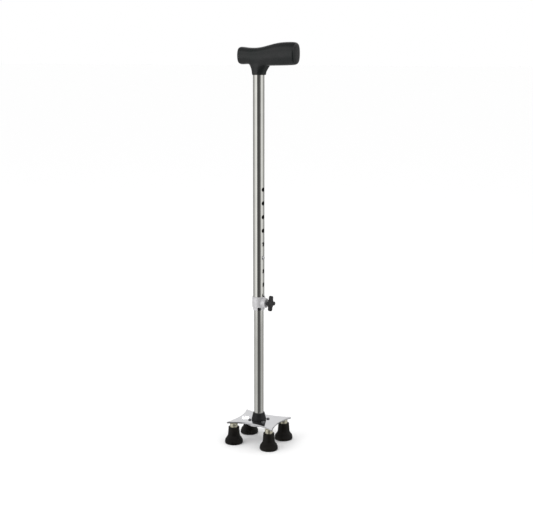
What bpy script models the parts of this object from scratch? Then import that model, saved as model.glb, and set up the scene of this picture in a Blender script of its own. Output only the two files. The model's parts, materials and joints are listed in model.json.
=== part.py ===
"""Quad walking cane: a T handle on a telescoping tube, standing on a four-footed base plate.

Metres, +Z up. The origin is on the floor, under the middle of the whole cane. Each assembly is
parented to an empty on the tubes' axis, so the parts are placed by their distance from that axis.
+X is the long end of the handle and the side of the clamp knob. The button holes face 10 degrees
from it, towards -Y.
"""

import math

import bmesh
import bpy
from mathutils import Vector

# Driving dimensions
TUBE_X = -0.0109
HOLE_PITCH = 0.0254
GAP = 0.0003

# Telescoping tubes
UPPER_RADIUS = 0.0105
UPPER_BORE = 0.0094
UPPER_BOTTOM = 0.2660
UPPER_TOP = 0.7150
LOWER_RADIUS = 0.0090
LOWER_BORE = 0.0079
LOWER_TOP = 0.3857
BUTTON_Z = 0.3590
HOLES_ABOVE_BUTTON = 5
HOLES_BELOW_BUTTON = 3
HOLE_RADIUS = 0.0040
HOLE_ANGLE = math.radians(-10)

# Snap button and its leaf spring
BUTTON_RADIUS = 0.0037
BUTTON_TIP = 0.0126
BUTTON_DOME = 0.0024
BUTTON_FLANGE_RADIUS = 0.0045
BUTTON_FLANGE_BACK = 0.0049
BUTTON_FLANGE_FRONT = 0.0061
SPRING_WIDTH = 0.0060
SPRING_THICKNESS = 0.0006
SPRING_FAR_ARM = -0.0066
SPRING_BEND_RADIUS = 0.0022
SPRING_BEND_DEPTH = 0.0300

# Clamp collar
COLLAR_BOTTOM = 0.2590
BAND_BOTTOM = 0.2648
COLLAR_TOP = 0.2845
COLLAR_RADIUS = 0.0122
COLLAR_EDGE = 0.0006
COLLAR_BORE = UPPER_RADIUS + GAP
LIP_RADIUS = 0.0107
LIP_BORE = 0.0100
BUSH_BORE = LOWER_RADIUS + 0.0001
KNOB_Z = 0.2732
BOSS_RADIUS = 0.0092
BOSS_FACE = 0.0165
BOSS_ROOT = 0.0070
BOSS_EDGE = 0.0008
STUD_RADIUS = 0.0030
STUD_CLEARANCE = 0.0034
NUT_LENGTH = 0.0036
NUT_CORNER_RADIUS = 0.0062
PAD_LENGTH = 0.0026
NOTCH_ANGLE = math.radians(-58)
NOTCH_WIDTH = 0.0062

# Star knob
KNOB_BACK = 0.0212
KNOB_FRONT = 0.0282
KNOB_LOBES = 4
LOBE_PLACE = 0.0107
LOBE_RADIUS = 0.0037
VALLEY_PLACE = 0.0130
KNOB_TURN = math.radians(-10.5)
KNOB_EDGE = 0.0011
KNOB_CAP = 0.0026

# Base plate: very slightly domed, with four pointed corners and hollow sides
PLATE_TOP = 0.0424
PLATE_DROP = 0.0003
PLATE_THICKNESS = 0.0030
PLATE_CORNER = (0.0495, 0.0425)
PLATE_CORNER_ROUND = 0.0035
PLATE_REACH = math.hypot(*PLATE_CORNER)
END_HOLLOW = 0.0085
FRONT_HOLLOW = 0.0158
BACK_HOLLOW = 0.0105
SCREW_PLACE = (0.0142, 0.0105)
SCREW_RADIUS = 0.0016
SCREW_HEAD_RADIUS = 0.0032

# Socket under the plate, and the boot round the tube
SOCKET_RADIUS = 0.0240
SOCKET_BOTTOM = 0.0358
SPIGOT_RADIUS = LOWER_BORE - GAP
SPIGOT_TOP = 0.0850
PIN_Z = 0.0510
PIN_RADIUS = 0.0020
BOOT_TOP = 0.0571
BOOT_RADIUS = 0.0139

# Feet
FOOT_PLACES = ((-0.0375, -0.03125), (0.0375, -0.03125), (0.0375, 0.03125), (-0.0375, 0.03125))
LEG_RADIUS = 0.00735
LEG_BOTTOM = 0.0102
FOOT_SOCKET_FLOOR = 0.0078
FOOT_TOP = 0.0320

# Handle
NECK_BOTTOM = 0.6924
NECK_SOCKET_TOP = UPPER_TOP + GAP
HANDLE_SCREW_Z = 0.7040
SCREW_SEAT = -0.0120
HANDLE_FRONT = -0.0379
HANDLE_BACK = 0.0765
END_DISH = 0.0002

# Finishes: colour, metallic, roughness
FINISHES = {
    "polished_aluminium": ((0.80, 0.81, 0.83, 1), 1.0, 0.12),
    "cast_aluminium": ((0.62, 0.63, 0.68, 1), 1.0, 0.38),
    "steel": ((0.66, 0.66, 0.66, 1), 1.0, 0.25),
    "spring_steel": ((0.42, 0.43, 0.45, 1), 1.0, 0.35),
    "leg_metal": ((0.72, 0.68, 0.58, 1), 1.0, 0.30),
    "handle_plastic": ((0.045, 0.048, 0.048, 1), 0.0, 0.48),
    "knob_plastic": ((0.030, 0.030, 0.031, 1), 0.0, 0.40),
    "nylon": ((0.022, 0.022, 0.023, 1), 0.0, 0.50),
    "rubber": ((0.016, 0.016, 0.015, 1), 0.0, 0.62),
}


# The boot's shoulder: how far in from its radius, and how far down from its top
BOOT_SHOULDER = ((0.0034, 0), (0.0026, 0.0015), (0.0020, 0.0040), (0.0013, 0.0070), (0.0005, 0.0100))
BOOT_WELT = 0.0012

# Small sizes inside the assemblies
SCREW_HEAD_HEIGHT = 0.0017
HANDLE_SCREW_END = 0.0040
SPIGOT_EDGE = 0.0010
LEG_EDGE = 0.0006
WASHER_BORE = 0.0025
PLUG_HEAD = 0.0026
PLUG_EDGE = 0.0008
PLUG_DEPTH = 0.0110
SPRING_NEAR_END = 0.0055
SPRING_FAR_END = 0.0060
CORE_LENGTH = 0.0280
NOTCH_DEPTH = 0.0040

# How far the cutters run: across the plate, out from the tubes' axis, and past an end
CUT_BELOW_PLATE = 0.030
CUT_ABOVE_PLATE = 0.060
DRILL_START = 0.003
DRILL_REACH = 0.030
RUN_OUT = 0.005


def clear_scene():
    for item in list(bpy.data.objects):
        bpy.data.objects.remove(item, do_unlink=True)


def new_collection(name):
    group = bpy.data.collections.new(name)
    bpy.context.scene.collection.children.link(group)
    return group


def assembly(name, location, parent=None):
    """An empty that a group of parts, or a joint, is placed by."""
    empty = bpy.data.objects.new(name, None)
    empty.location = location
    empty.parent = parent
    PARTS.objects.link(empty)
    return empty


def finish(obj, look):
    """Gives the object a material of its own in one of the cane's finishes."""
    colour, metallic, roughness = FINISHES[look]
    material = bpy.data.materials.new(obj.name)
    material.use_nodes = True
    shader = material.node_tree.nodes["Principled BSDF"]
    shader.inputs["Base Color"].default_value = colour
    shader.inputs["Metallic"].default_value = metallic
    shader.inputs["Roughness"].default_value = roughness
    obj.data.materials.clear()
    obj.data.materials.append(material)


def place(obj, parent, look, location=(0, 0, 0)):
    PARTS.objects.link(obj)
    obj.parent = parent
    obj.location = location
    finish(obj, look)
    return obj


def as_cutter(obj, parent, location=(0, 0, 0)):
    CUTTERS.objects.link(obj)
    obj.parent = parent
    obj.location = location
    obj.hide_render = True
    obj.display_type = "WIRE"
    return obj


def turned(name, profile, steps=40, hollow=False):
    """A turned piece: (radius, height) points that run down the outer side, swept round Z."""
    edges = [(i, i + 1) for i in range(len(profile) - 1)]
    if hollow:
        edges.append((len(profile) - 1, 0))
    mesh = bpy.data.meshes.new(name)
    mesh.from_pydata([(radius, 0, height) for radius, height in profile], edges, [])
    obj = bpy.data.objects.new(name, mesh)
    screw = obj.modifiers.new("turn", "SCREW")
    screw.axis = "Z"
    screw.steps = steps
    screw.render_steps = steps
    screw.use_merge_vertices = True
    screw.merge_threshold = 0.00001
    return obj


def ring(name, outer, bore, bottom, top, steps=40):
    profile = [(outer, top), (outer, bottom), (bore, bottom), (bore, top)]
    return turned(name, profile, steps, hollow=True)


def rod(name, radius, bottom, top, steps=24):
    return turned(name, [(0, top), (radius, top), (radius, bottom), (0, bottom)], steps)


def box(name, size):
    mesh = bpy.data.meshes.new(name)
    shape = bmesh.new()
    bmesh.ops.create_cube(shape, size=1)
    bmesh.ops.scale(shape, vec=size, verts=shape.verts)
    shape.to_mesh(mesh)
    shape.free()
    return bpy.data.objects.new(name, mesh)


def turn_to(obj, direction):
    """Points the object's own +Z along +X, -X or +Y."""
    obj.rotation_euler = {
        "+X": (0, math.pi / 2, 0),
        "-X": (0, -math.pi / 2, 0),
        "+Y": (-math.pi / 2, 0, 0),
    }[direction]
    return obj


def combine(obj, tool, operation="DIFFERENCE"):
    boolean = obj.modifiers.new(tool.name, "BOOLEAN")
    boolean.operation = operation
    boolean.object = tool
    return obj


def bevel(obj, width, segments=1):
    edges = obj.modifiers.new("rounded edges", "BEVEL")
    edges.width = width
    edges.segments = segments
    edges.limit_method = "ANGLE"
    edges.angle_limit = math.radians(35)
    return obj


def outline_prism(name, points, thickness, corner_round=0.0, corners=()):
    """A flat outline as a filled curve, extruded about its plane, with some corners rounded."""
    curve = bpy.data.curves.new(name, "CURVE")
    curve.dimensions = "2D"
    curve.fill_mode = "BOTH"
    curve.extrude = thickness / 2
    spline = curve.splines.new("POLY")
    spline.points.add(len(points) - 1)
    for point, (x, y) in zip(spline.points, points):
        point.co = (x, y, 0, 1)
    spline.use_cyclic_u = True
    source = bpy.data.objects.new(name + "_outline", curve)
    bpy.context.scene.collection.objects.link(source)
    bpy.context.view_layer.update()
    evaluated = source.evaluated_get(bpy.context.evaluated_depsgraph_get())
    mesh = bpy.data.meshes.new_from_object(evaluated)
    mesh.name = name
    shape = bmesh.new()
    shape.from_mesh(mesh)
    bmesh.ops.remove_doubles(shape, verts=shape.verts, dist=0.00001)
    bmesh.ops.dissolve_limit(shape, angle_limit=0.001, verts=shape.verts, edges=shape.edges)
    sharp = [
        edge
        for edge in shape.edges
        if abs(edge.verts[0].co.z - edge.verts[1].co.z) > thickness / 2
        and any((edge.verts[0].co.xy - corner).length < 0.0001 for corner in corners)
    ]
    if corner_round:
        bmesh.ops.bevel(shape, geom=sharp, offset=corner_round, segments=4, affect="EDGES", profile=0.5)
    bmesh.ops.recalc_face_normals(shape, faces=shape.faces)
    shape.to_mesh(mesh)
    shape.free()
    obj = bpy.data.objects.new(name, mesh)
    obj.matrix_world = source.matrix_world
    bpy.data.objects.remove(source, do_unlink=True)
    return obj


def hollow_side(start, end, hollow, steps=10):
    """Points of a circular arc that curves in towards the middle, from one corner to the next."""
    chord = math.hypot(end[0] - start[0], end[1] - start[1])
    radius = (chord * chord / 4 + hollow * hollow) / (2 * hollow)
    half_angle = math.asin(chord / 2 / radius)
    middle = ((start[0] + end[0]) / 2, (start[1] + end[1]) / 2)
    outward = (middle[0] / math.hypot(*middle), middle[1] / math.hypot(*middle))
    along = ((end[0] - start[0]) / chord, (end[1] - start[1]) / chord)
    points = []
    for step in range(steps):
        angle = half_angle * (2 * step / steps - 1)
        inward = hollow - radius * (1 - math.cos(angle))
        across = radius * math.sin(angle)
        points.append(tuple(middle[i] + along[i] * across - outward[i] * inward for i in range(2)))
    return points


def plate_surface(radius):
    """Height of the plate's domed top at a distance from the tube's axis."""
    return PLATE_TOP - PLATE_DROP * (radius / PLATE_REACH) ** 2


def star_outline(lobes, lobe_place, lobe_radius, valley_place, turn, steps=6):
    """Round lobes joined by round valleys that meet them tangentially."""
    half = math.pi / lobes
    reach = math.sqrt(
        lobe_place**2 + valley_place**2 - 2 * lobe_place * valley_place * math.cos(half)
    )
    valley_radius = reach - lobe_radius
    # Direction, seen from the lobe's centre, of the point where lobe and valley meet
    meet = math.pi - math.acos((lobe_place**2 + reach**2 - valley_place**2) / (2 * lobe_place * reach))
    sweep = math.acos((valley_place**2 + reach**2 - lobe_place**2) / (2 * valley_place * reach))
    points = []
    for lobe in range(lobes):
        centre = turn + 2 * half * lobe
        for step in range(steps + 1):
            angle = centre + meet * (2 * step / steps - 1)
            points.append(
                (
                    lobe_place * math.cos(centre) + lobe_radius * math.cos(angle),
                    lobe_place * math.sin(centre) + lobe_radius * math.sin(angle),
                )
            )
        middle = centre + half
        for step in range(1, steps):
            angle = middle + math.pi - sweep * (2 * step / steps - 1)
            points.append(
                (
                    valley_place * math.cos(middle) + valley_radius * math.cos(angle),
                    valley_place * math.sin(middle) + valley_radius * math.sin(angle),
                )
            )
    return points


def screw_head(seat):
    """Profile of a pan head that stands on the given height, from its middle to its rim."""
    return [
        (0, seat + SCREW_HEAD_HEIGHT),
        (SCREW_HEAD_RADIUS * 0.55, seat + SCREW_HEAD_HEIGHT * 0.9),
        (SCREW_HEAD_RADIUS * 0.92, seat + SCREW_HEAD_HEIGHT * 0.5),
        (SCREW_HEAD_RADIUS, seat),
    ]


def build_base(root):
    corner_x, corner_y = PLATE_CORNER
    corners = [(corner_x, -corner_y), (corner_x, corner_y), (-corner_x, corner_y), (-corner_x, -corner_y)]
    hollows = (END_HOLLOW, BACK_HOLLOW, END_HOLLOW, FRONT_HOLLOW)
    points = []
    for start, end, hollow in zip(corners, corners[1:] + corners[:1], hollows):
        points += hollow_side(start, end, hollow)
    depth = CUT_ABOVE_PLATE - CUT_BELOW_PLATE
    sharp_corners = [Vector(corner) for corner in corners]
    outline = outline_prism("plate_outline", points, depth, PLATE_CORNER_ROUND, sharp_corners)
    as_cutter(outline, root, (0, 0, PLATE_TOP))

    radii = [PLATE_REACH * 1.05 * step / 5 for step in range(6)]
    top = [(radius, plate_surface(radius)) for radius in radii]
    bottom = [(radius, height - PLATE_THICKNESS) for radius, height in reversed(top)]
    plate = turned("base_plate", top + bottom, steps=36)
    place(plate, root, "polished_aluminium")
    combine(plate, outline, "INTERSECT")
    hole = rod("plate_hole", SPIGOT_RADIUS + GAP, CUT_BELOW_PLATE, CUT_ABOVE_PLATE, 32)
    combine(plate, as_cutter(hole, root))

    flange_top = [
        (radius, plate_surface(radius) - PLATE_THICKNESS - GAP)
        for radius in (SPIGOT_RADIUS, SOCKET_RADIUS * 0.66, SOCKET_RADIUS)
    ]
    socket_profile = [
        (0, SPIGOT_TOP),
        (SPIGOT_RADIUS - SPIGOT_EDGE, SPIGOT_TOP),
        (SPIGOT_RADIUS, SPIGOT_TOP - SPIGOT_EDGE),
        *flange_top,
        (SOCKET_RADIUS, SOCKET_BOTTOM),
        (0, SOCKET_BOTTOM),
    ]
    socket = place(turned("tube_socket", socket_profile, 32), root, "cast_aluminium")

    for index, (side_x, side_y) in enumerate(((-1, -1), (1, -1), (1, 1), (-1, 1)), start=1):
        spot = (side_x * SCREW_PLACE[0], side_y * SCREW_PLACE[1], 0)
        hole = rod(f"plate_screw_hole_{index}", SCREW_RADIUS + GAP, CUT_BELOW_PLATE, CUT_ABOVE_PLATE, 16)
        as_cutter(hole, root, spot)
        combine(plate, hole)
        combine(socket, hole)
        seat = plate_surface(math.hypot(*SCREW_PLACE)) + 2 * GAP
        profile = [
            *screw_head(seat),
            (SCREW_RADIUS, seat),
            (SCREW_RADIUS, SOCKET_BOTTOM + GAP),
            (0, SOCKET_BOTTOM + GAP),
        ]
        place(turned(f"plate_screw_{index}", profile, 16), root, "steel", spot)

    boot_profile = [
        *((BOOT_RADIUS - inset, BOOT_TOP - drop) for inset, drop in BOOT_SHOULDER),
        (BOOT_RADIUS, plate_surface(BOOT_RADIUS) + BOOT_WELT),
        (BOOT_RADIUS - GAP, plate_surface(BOOT_RADIUS) + GAP),
        (LOWER_RADIUS + GAP, plate_surface(LOWER_RADIUS) + GAP),
        (LOWER_RADIUS + GAP, BOOT_TOP),
    ]
    place(turned("tube_boot", boot_profile, 32, hollow=True), root, "rubber")

    pin_hole = turn_to(rod("socket_pin_hole", PIN_RADIUS + GAP, -DRILL_REACH, DRILL_REACH, 20), "+Y")
    as_cutter(pin_hole, root, (0, 0, PIN_Z))
    combine(socket, pin_hole)
    pin_reach = LOWER_RADIUS - GAP
    pin = turn_to(rod("socket_pin", PIN_RADIUS, -pin_reach, pin_reach, 20), "+Y")
    place(pin, root, "steel", (0, 0, PIN_Z))
    return pin_hole


# A rubber foot's outside, from its neck down and across its ringed sole: radius, height
FOOT_PROFILE = (
    (0.0103, FOOT_TOP),
    (0.0107, 0.0295),
    (0.0111, 0.0220),
    (0.0115, 0.0160),
    (0.0135, 0.0120),
    (0.0160, 0.0085),
    (0.0172, 0.0045),
    (0.0171, 0.0015),
    (0.0161, 0.0),
    (0.0120, 0.0),
    (0.0112, 0.0010),
    (0.0088, 0.0010),
    (0.0080, 0.0),
    (0, 0.0),
)


def build_feet(root):
    foot_profile = [
        *FOOT_PROFILE,
        (0, FOOT_SOCKET_FLOOR),
        (LEG_RADIUS + GAP, FOOT_SOCKET_FLOOR),
        (LEG_RADIUS + GAP, FOOT_TOP),
    ]
    leg_top = plate_surface(math.hypot(*FOOT_PLACES[0]) + LEG_RADIUS) - PLATE_THICKNESS - GAP
    washer_bottom = FOOT_SOCKET_FLOOR + GAP
    for index, (x, y) in enumerate(FOOT_PLACES, start=1):
        foot = turned(f"rubber_foot_{index}", foot_profile, 28, hollow=True)
        place(foot, root, "rubber", (x, y, 0))
        leg_profile = [
            (0, leg_top),
            (LEG_RADIUS, leg_top),
            (LEG_RADIUS, LEG_BOTTOM + LEG_EDGE),
            (LEG_RADIUS - LEG_EDGE, LEG_BOTTOM),
            (0, LEG_BOTTOM),
        ]
        place(turned(f"leg_post_{index}", leg_profile, 24), root, "leg_metal", (x, y, 0))
        washer = ring(f"foot_washer_{index}", LEG_RADIUS, WASHER_BORE, washer_bottom, LEG_BOTTOM - GAP, 20)
        place(washer, root, "steel", (x, y, 0))


def build_lower_tube(root, pin_hole):
    tube_bottom = PLATE_TOP + GAP
    tube = ring("lower_tube", LOWER_RADIUS, LOWER_BORE, tube_bottom, LOWER_TOP, 48)
    place(tube, root, "polished_aluminium")
    button_hole = turn_to(rod("lower_button_hole", HOLE_RADIUS, DRILL_START, DRILL_REACH, 24), "+X")
    button_hole.rotation_euler.z = HOLE_ANGLE
    combine(tube, as_cutter(button_hole, root, (0, 0, BUTTON_Z)))
    combine(tube, pin_hole)

    plug_profile = [
        (0, LOWER_TOP + PLUG_HEAD),
        (UPPER_BORE - GAP - PLUG_EDGE, LOWER_TOP + PLUG_HEAD),
        (UPPER_BORE - GAP, LOWER_TOP + PLUG_HEAD - PLUG_EDGE),
        (UPPER_BORE - GAP, LOWER_TOP + GAP),
        (LOWER_BORE - GAP, LOWER_TOP + GAP),
        (LOWER_BORE - GAP, LOWER_TOP - PLUG_DEPTH),
        (0, LOWER_TOP - PLUG_DEPTH),
    ]
    place(turned("lower_tube_plug", plug_profile, 32), root, "nylon")


def build_button(root):
    axis = assembly("button_axis", (0, 0, BUTTON_Z), root)
    axis.rotation_euler.z = HOLE_ANGLE
    dome = [
        (BUTTON_RADIUS * math.sin(angle), BUTTON_TIP - BUTTON_DOME * (1 - math.cos(angle)))
        for angle in (math.radians(22.5 * step) for step in range(5))
    ]
    profile = [
        *dome,
        (BUTTON_RADIUS, BUTTON_FLANGE_FRONT),
        (BUTTON_FLANGE_RADIUS, BUTTON_FLANGE_FRONT),
        (BUTTON_FLANGE_RADIUS, BUTTON_FLANGE_BACK),
        (0, BUTTON_FLANGE_BACK),
    ]
    button = turn_to(turned("snap_button", profile, 24), "+X")
    place(button, axis, "steel")

    # A bent leaf: one arm behind the button, the bend below it, the other arm on the far wall
    near = BUTTON_FLANGE_BACK - GAP - SPRING_THICKNESS / 2
    far = SPRING_FAR_ARM
    bend_x = (near + far) / 2
    route = [(near, SPRING_NEAR_END), (near, -SPRING_NEAR_END)]
    for step in range(7):
        angle = math.pi * step / 6
        bend_z = -SPRING_BEND_DEPTH - SPRING_BEND_RADIUS * math.sin(angle)
        route.append((bend_x + SPRING_BEND_RADIUS * math.cos(angle), bend_z))
    route += [(far, 0), (far + SPRING_THICKNESS, SPRING_FAR_END)]
    mesh = bpy.data.meshes.new("button_spring")
    half = SPRING_WIDTH / 2
    points = [(x, y, z) for x, z in route for y in (-half, half)]
    faces = [(2 * i, 2 * i + 1, 2 * i + 3, 2 * i + 2) for i in range(len(route) - 1)]
    mesh.from_pydata(points, [], faces)
    spring = bpy.data.objects.new("button_spring", mesh)
    solidify = spring.modifiers.new("leaf", "SOLIDIFY")
    solidify.thickness = SPRING_THICKNESS
    solidify.offset = 0
    place(spring, axis, "spring_steel")


def build_upper_tube(upper):
    tube = ring("upper_tube", UPPER_RADIUS, UPPER_BORE, UPPER_BOTTOM, UPPER_TOP, 48)
    place(tube, upper, "polished_aluminium")
    for step in range(-HOLES_BELOW_BUTTON, HOLES_ABOVE_BUTTON + 1):
        number = HOLES_ABOVE_BUTTON - step + 1
        hole = turn_to(rod(f"height_hole_{number}", HOLE_RADIUS, DRILL_START, DRILL_REACH, 20), "+X")
        hole.rotation_euler.z = HOLE_ANGLE
        combine(tube, as_cutter(hole, upper, (0, 0, BUTTON_Z + step * HOLE_PITCH)))
    pad_hole = turn_to(rod("pad_hole", STUD_CLEARANCE, DRILL_START, DRILL_REACH, 20), "+X")
    combine(tube, as_cutter(pad_hole, upper, (0, 0, KNOB_Z)))
    hole_end = HANDLE_SCREW_END - 2 * GAP
    screw_hole = turn_to(rod("handle_screw_hole", SCREW_RADIUS + GAP, hole_end, DRILL_REACH, 16), "-X")
    combine(tube, as_cutter(screw_hole, upper, (0, 0, HANDLE_SCREW_Z)))
    return pad_hole, screw_hole


def build_collar(upper, pad_hole):
    profile = [
        (0, COLLAR_TOP),
        (COLLAR_RADIUS - COLLAR_EDGE, COLLAR_TOP),
        (COLLAR_RADIUS, COLLAR_TOP - COLLAR_EDGE),
        (COLLAR_RADIUS, BAND_BOTTOM + COLLAR_EDGE),
        (COLLAR_RADIUS - COLLAR_EDGE, BAND_BOTTOM),
        (LIP_RADIUS, BAND_BOTTOM),
        (LIP_RADIUS, COLLAR_BOTTOM),
        (0, COLLAR_BOTTOM),
    ]
    collar = place(turned("clamp_collar", profile), upper, "cast_aluminium")
    boss_profile = [
        (0, BOSS_FACE),
        (BOSS_RADIUS - BOSS_EDGE, BOSS_FACE),
        (BOSS_RADIUS, BOSS_FACE - BOSS_EDGE),
        (BOSS_RADIUS, BOSS_ROOT),
        (0, BOSS_ROOT),
    ]
    boss = turn_to(turned("collar_boss", boss_profile, 32), "+X")
    combine(collar, as_cutter(boss, upper, (0, 0, KNOB_Z)), "UNION")
    bore_profile = [
        (0, COLLAR_TOP + RUN_OUT),
        (COLLAR_BORE, COLLAR_TOP + RUN_OUT),
        (COLLAR_BORE, UPPER_BOTTOM - GAP),
        (LIP_BORE, UPPER_BOTTOM - GAP),
        (LIP_BORE, COLLAR_BOTTOM - RUN_OUT),
        (0, COLLAR_BOTTOM - RUN_OUT),
    ]
    combine(collar, as_cutter(turned("collar_bore", bore_profile), upper))
    combine(collar, pad_hole)
    notch = box("collar_notch", (NOTCH_DEPTH, NOTCH_WIDTH, 2 * (BAND_BOTTOM - COLLAR_BOTTOM)))
    notch.rotation_euler = (0, 0, NOTCH_ANGLE)
    notch_place = (LIP_RADIUS * math.cos(NOTCH_ANGLE), LIP_RADIUS * math.sin(NOTCH_ANGLE), COLLAR_BOTTOM)
    combine(collar, as_cutter(notch, upper, notch_place))

    bush = ring("guide_bush", LIP_BORE - GAP, BUSH_BORE, COLLAR_BOTTOM + GAP, UPPER_BOTTOM - GAP)
    place(bush, upper, "nylon")


def build_clamp(upper, pad_hole):
    axis = assembly("clamp_axis", (0, 0, KNOB_Z), upper)
    nut_back = BOSS_FACE + GAP
    nut = turn_to(rod("lock_nut", NUT_CORNER_RADIUS, nut_back, nut_back + NUT_LENGTH, 6), "+X")
    place(nut, axis, "steel")
    combine(nut, pad_hole)

    pad_tip = LOWER_RADIUS + GAP
    pad_end = pad_tip + PAD_LENGTH
    pad = turn_to(rod("pressure_pad", STUD_RADIUS, pad_tip, pad_end, 20), "+X")
    place(pad, axis, "nylon")

    outline = star_outline(KNOB_LOBES, LOBE_PLACE, LOBE_RADIUS, VALLEY_PLACE, KNOB_TURN)
    knob = turn_to(outline_prism("clamp_knob", outline, KNOB_FRONT - KNOB_BACK), "+X")
    place(knob, axis, "knob_plastic", ((KNOB_BACK + KNOB_FRONT) / 2, 0, 0))
    bevel(knob, KNOB_EDGE, 2)
    stud_end = KNOB_FRONT - KNOB_CAP
    bore = turn_to(rod("knob_bore", STUD_RADIUS + GAP, 0, stud_end + GAP, 20), "+X")
    combine(knob, as_cutter(bore, axis))
    stud = turn_to(rod("knob_stud", STUD_RADIUS, pad_end + GAP, stud_end, 20), "+X")
    place(stud, axis, "steel")


# The handle's control cage: place along X, top, bottom and half width of each section
HANDLE_SECTIONS = (
    (-0.0372, 0.7420, 0.7119, 0.0135),
    (-0.0332, 0.7426, 0.7109, 0.0144),
    (-0.0245, 0.7414, 0.7115, 0.0146),
    (-0.0165, 0.7406, 0.7118, 0.0147),
    (0.0015, 0.7404, 0.7100, 0.0150),
    (0.0200, 0.7447, 0.7090, 0.0150),
    (0.0380, 0.7493, 0.7092, 0.0150),
    (0.0560, 0.7506, 0.7096, 0.0150),
    (0.0695, 0.7505, 0.7102, 0.0149),
    (0.0748, 0.7496, 0.7112, 0.0144),
)
# The neck's rings, down from the bar: height, reach towards -X, reach towards +X, half width
NECK_RINGS = (
    (0.7080, 0.0158, 0.0216, 0.0134),
    (0.7030, 0.0136, 0.0172, 0.0127),
    (0.6975, 0.0126, 0.0141, 0.0123),
    (0.6940, 0.0123, 0.0137, 0.0122),
    (NECK_BOTTOM, 0.0120, 0.0134, 0.0119),
)
SECTION_SIDES = 8
SQUARENESS = 0.83
NECK_START, NECK_END = 3, 5


def handle_cage():
    """Points and faces of the handle's cage: eight-sided sections with a neck out of the bottom."""
    reach = 6 / (4 + 2 * SQUARENESS)
    diagonal = [(0, 1), (SQUARENESS, SQUARENESS), (1, 0), (SQUARENESS, -SQUARENESS), (0, -1)]
    unit = diagonal + [(-y, z) for y, z in reversed(diagonal[1:-1])]
    points, faces = [], []

    def add_section(x, top, bottom, width, scale=1.0):
        middle, half = (top + bottom) / 2, (top - bottom) / 2
        points.extend((x, scale * reach * width * y, middle + scale * reach * half * z) for y, z in unit)

    def bridge(first, second, skipped=()):
        for side in range(SECTION_SIDES):
            if side not in skipped:
                after = (side + 1) % SECTION_SIDES
                faces.append((first + side, first + after, second + after, second + side))

    front, back = HANDLE_SECTIONS[0], HANDLE_SECTIONS[-1]
    add_section(HANDLE_FRONT + END_DISH, *front[1:], scale=0.45)
    add_section(HANDLE_FRONT, *front[1:], scale=0.80)
    for section in HANDLE_SECTIONS:
        add_section(*section)
    add_section(HANDLE_BACK - END_DISH, *back[1:], scale=0.86)
    add_section(HANDLE_BACK, *back[1:], scale=0.45)
    count = len(points) // SECTION_SIDES
    for ring_number in range(count - 1):
        over_neck = NECK_START <= ring_number - 2 < NECK_END
        bottom_sides = (3, 4) if over_neck else ()
        bridge(ring_number * SECTION_SIDES, (ring_number + 1) * SECTION_SIDES, bottom_sides)
    faces.append(tuple(range(SECTION_SIDES - 1, -1, -1)))
    last = (count - 1) * SECTION_SIDES
    faces.append(tuple(range(last, last + SECTION_SIDES)))

    start, middle, end = [(number + 2) * SECTION_SIDES for number in (NECK_START, NECK_START + 1, NECK_END)]
    rim = [start + 3, middle + 3, end + 3, end + 4, end + 5, middle + 5, start + 5, start + 4]
    directions = [(-1, 1), (0, 1), (1, 1), (1, 0), (1, -1), (0, -1), (-1, -1), (-1, 0)]
    circle = 6 / (4 + math.sqrt(2))
    rings = [rim]
    for scale, (height, front_reach, back_reach, width) in [
        *((1.0, neck_ring) for neck_ring in NECK_RINGS),
        (0.60, NECK_RINGS[-1]),
    ]:
        first = len(points)
        for along, across in directions:
            length = math.hypot(along, across)
            reach_x = back_reach if along > 0 else front_reach
            x = circle * scale * reach_x * along / length
            y = circle * scale * width * across / length
            points.append((x, y, height))
        rings.append(list(range(first, first + 8)))
    for upper_ring, lower_ring in zip(rings, rings[1:]):
        for side in range(8):
            after = (side + 1) % 8
            faces.append((upper_ring[side], upper_ring[after], lower_ring[after], lower_ring[side]))
    faces.append(tuple(rings[-1]))
    return points, faces


def build_handle(upper, screw_hole):
    points, faces = handle_cage()
    mesh = bpy.data.meshes.new("handle_grip")
    mesh.from_pydata(points, [], faces)
    shape = bmesh.new()
    shape.from_mesh(mesh)
    bmesh.ops.recalc_face_normals(shape, faces=shape.faces)
    shape.to_mesh(mesh)
    shape.free()
    handle = bpy.data.objects.new("handle_grip", mesh)
    soften = handle.modifiers.new("soft form", "SUBSURF")
    soften.levels = 1
    soften.render_levels = 1
    place(handle, upper, "handle_plastic")
    socket = rod("neck_socket", UPPER_RADIUS + GAP, NECK_BOTTOM - RUN_OUT, NECK_SOCKET_TOP, 40)
    combine(handle, as_cutter(socket, upper))
    combine(handle, screw_hole)
    seat = turn_to(rod("screw_seat", SCREW_HEAD_RADIUS + GAP, -SCREW_SEAT, DRILL_REACH, 20), "-X")
    combine(handle, as_cutter(seat, upper, (0, 0, HANDLE_SCREW_Z)))

    core = rod("tube_core", UPPER_BORE - GAP, UPPER_TOP - CORE_LENGTH, UPPER_TOP - GAP, 32)
    place(core, upper, "nylon")
    combine(core, screw_hole)

    head = -SCREW_SEAT + GAP
    profile = [
        *screw_head(head),
        (SCREW_RADIUS, head),
        (SCREW_RADIUS, HANDLE_SCREW_END),
        (0, HANDLE_SCREW_END),
    ]
    screw = turn_to(turned("handle_screw", profile, 16), "-X")
    place(screw, upper, "steel", (0, 0, HANDLE_SCREW_Z))


def shade_smooth():
    for obj in PARTS.objects:
        if obj.type == "MESH":
            obj.data.shade_smooth()


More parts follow.
